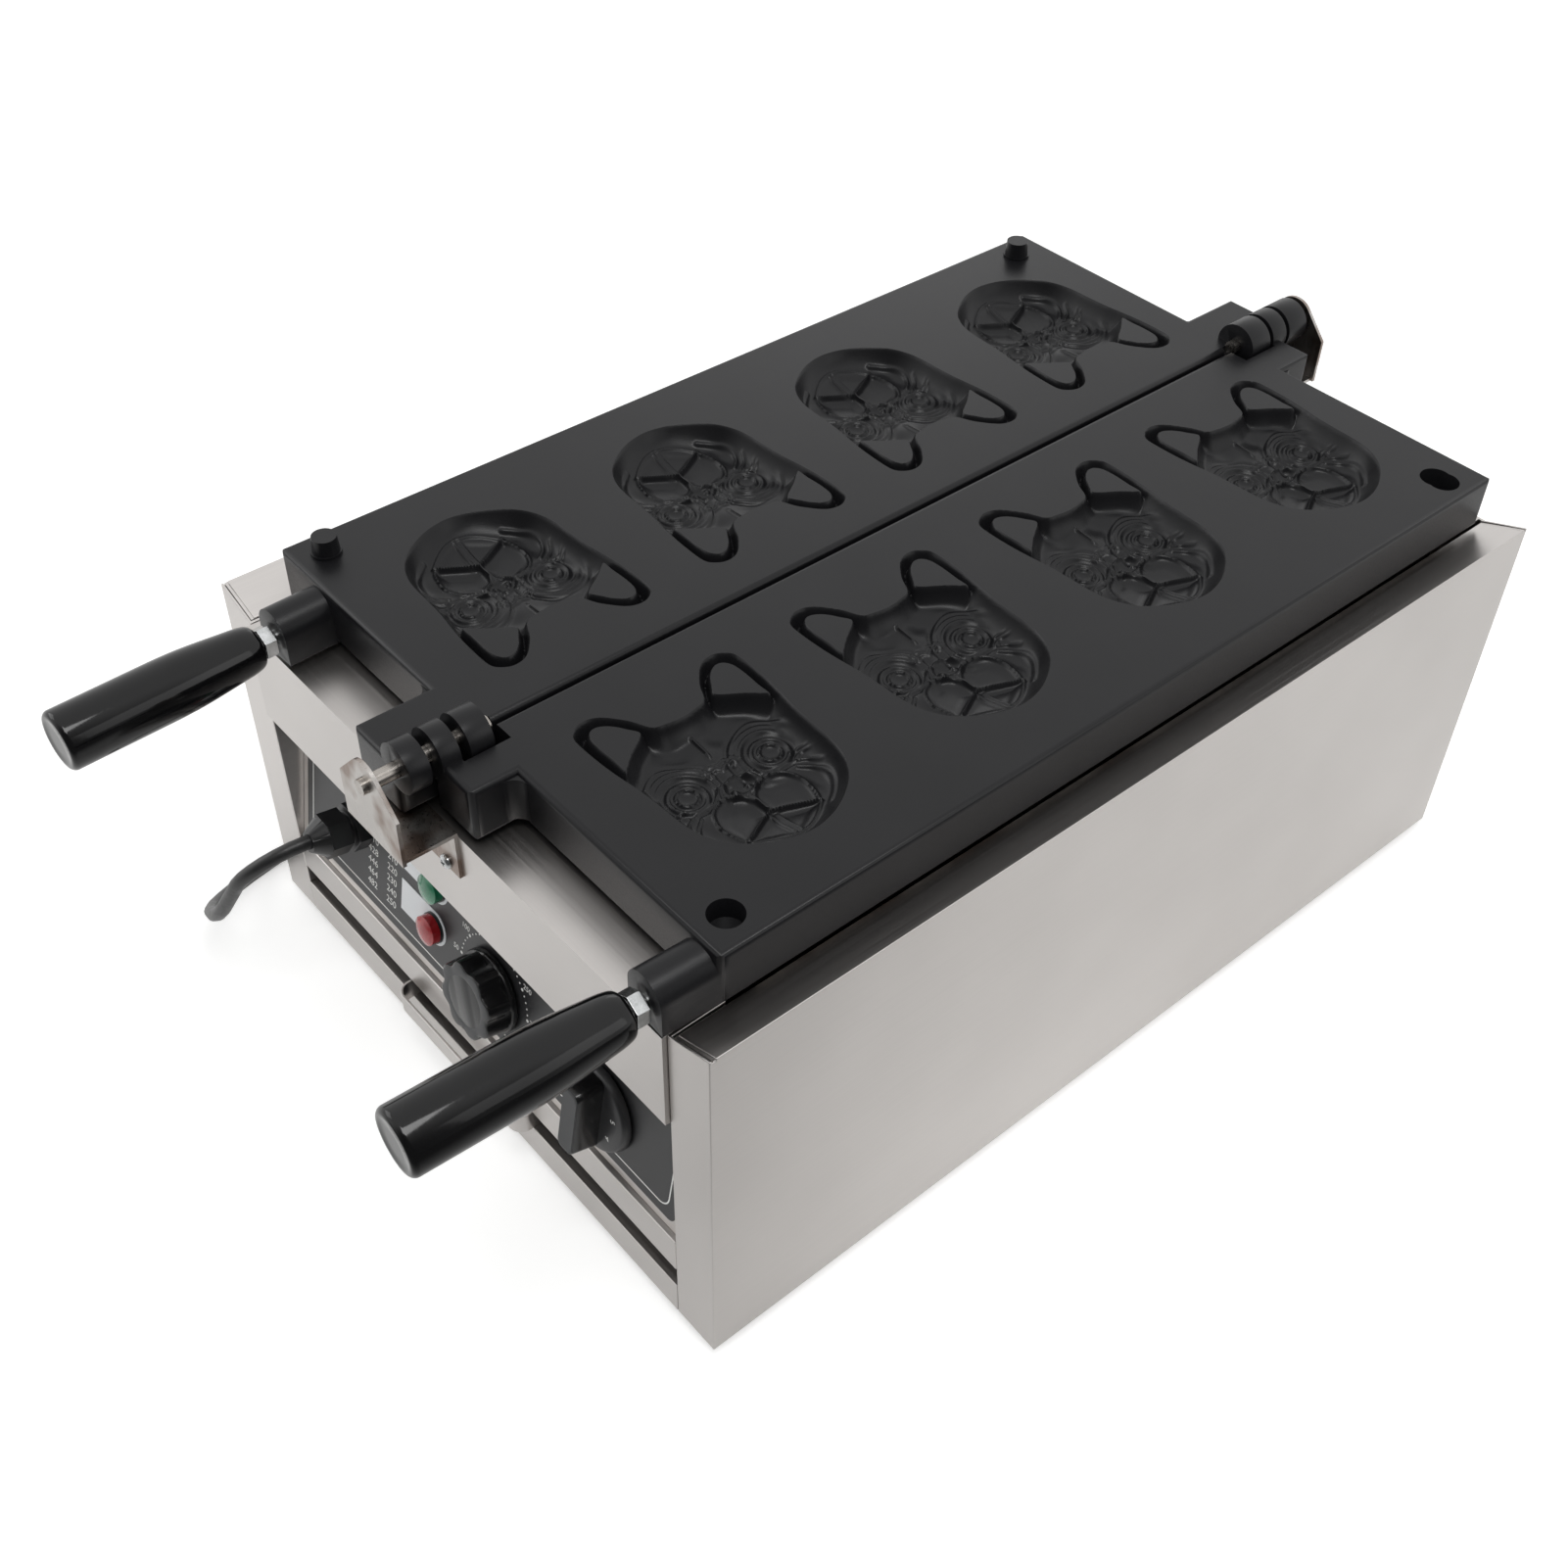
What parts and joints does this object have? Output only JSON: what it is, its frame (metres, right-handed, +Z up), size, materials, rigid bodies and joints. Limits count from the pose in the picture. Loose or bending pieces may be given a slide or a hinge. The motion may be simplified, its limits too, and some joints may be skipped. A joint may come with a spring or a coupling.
{
  "type": "waffle maker",
  "caption": "Countertop shaped waffle maker: stainless casing with drip tray, control panel and mains cord, and hinged cast plates with dog-head cavities that close and turn over on end rods.",
  "frame": {"origin": "On the surface the feet stand on, under the middle of the machine without its cord", "axes": "+X to the right seen from the front, -Y towards the front with the controls, +Z up"},
  "size_m": [0.5391, 0.7364, 0.2672],
  "materials": {
    "stainless_sheet": "brushed stainless sheet",
    "printed_film": "dark grey printed film",
    "white_film": "white film",
    "zinc_fasteners": "bright zinc plate",
    "foot_rubber": "moulded black rubber",
    "heat_sheet": "mill finish sheet",
    "heater_tube": "oxidised heating element tube",
    "control_moulding": "heat-resistant moulding",
    "copper_tube": "bare copper tube",
    "terminal_ceramic": "unglazed ceramic",
    "cord_sheath": "black rubber sheath",
    "wire_sleeve": "glass-fibre sleeve",
    "black_nylon": "moulded nylon",
    "red_lens": "clear red polycarbonate",
    "green_lens": "clear green polycarbonate",
    "plug_moulding": "moulded black PVC",
    "bracket_steel": "stainless plate, heat-tinted at its edges",
    "rod_steel": "turned steel rod",
    "coated_casting": "matte black non-stick coating on a casting",
    "bakelite_grip": "polished black phenolic",
    "knob_plastic": "moulded black plastic, satin face"
  },
  "bodies": {
    "base": {"side_panel_left": "stainless_sheet", "side_panel_right": "stainless_sheet", "front_fascia": "stainless_sheet", "front_rail": "stainless_sheet", "control_panel": "stainless_sheet", "panel_overlay": "printed_film", "lamp_plates": "white_film", "back_cover": "stainless_sheet", "back_screws": "zinc_fasteners", "base_pan": "stainless_sheet", "rubber_feet": "foot_rubber", "tray_runners": "stainless_sheet", "chamber": "heat_sheet", "chamber_bearers": "heat_sheet", "heater_left": "heater_tube", "heater_right": "heater_tube", "heater_supports": "heat_sheet", "thermostat_body": "control_moulding", "thermostat_bulb": "copper_tube", "timer_body": "control_moulding", "terminal_block": "terminal_ceramic", "inner_lead": "cord_sheath", "wiring_loom": "wire_sleeve", "lamp_holders": "black_nylon", "lamp_red": "red_lens", "lamp_green": "green_lens", "gland_body": "black_nylon", "gland_nut": "black_nylon", "gland_locknut": "black_nylon", "cord": "cord_sheath", "cord_coil": "cord_sheath", "plug": "plug_moulding", "hinge_bracket_front": "bracket_steel", "hinge_bracket_rear": "bracket_steel", "bracket_screws": "zinc_fasteners", "hinge_rod_front": "rod_steel", "hinge_rod_rear": "rod_steel"},
    "plate_left": {"plate_left": "coated_casting", "locating_pins": "coated_casting", "stud_left": "zinc_fasteners", "locknut_left": "zinc_fasteners", "handle_left": "bakelite_grip"},
    "plate_right": {"plate_right": "coated_casting", "stud_right": "zinc_fasteners", "locknut_right": "zinc_fasteners", "handle_right": "bakelite_grip"},
    "tray": {"tray": "stainless_sheet", "tray_pull": "stainless_sheet"},
    "thermostat_knob": {"thermostat_knob": "knob_plastic", "thermostat_shaft": "zinc_fasteners"},
    "timer_knob": {"timer_knob": "knob_plastic", "timer_shaft": "zinc_fasteners"}
  },
  "joints": [
    {"name": "plate_left_hinge", "type": "hinge", "parent": "base", "child": "plate_left", "pos_m": [0, 0, 0.25425], "axis": [0, 1, 0], "range_deg": [0, 180]},
    {"name": "plate_right_hinge", "type": "hinge", "parent": "base", "child": "plate_right", "pos_m": [0, 0, 0.25425], "axis": [0, -1, 0], "range_deg": [0, 180]},
    {"name": "tray_slide", "type": "slide", "parent": "base", "child": "tray", "axis": [0, -1, 0], "range_m": [0, 0.25]},
    {"name": "thermostat_turn", "type": "hinge", "parent": "base", "child": "thermostat_knob", "pos_m": [0.0155, -0.24144, 0.1], "axis": [0, -0.9848, 0.1736], "range_deg": [-270, 0]},
    {"name": "timer_turn", "type": "hinge", "parent": "base", "child": "timer_knob", "pos_m": [0.107, -0.24144, 0.1], "axis": [0, -0.9848, 0.1736], "range_deg": [-300, 0]}
  ]
}
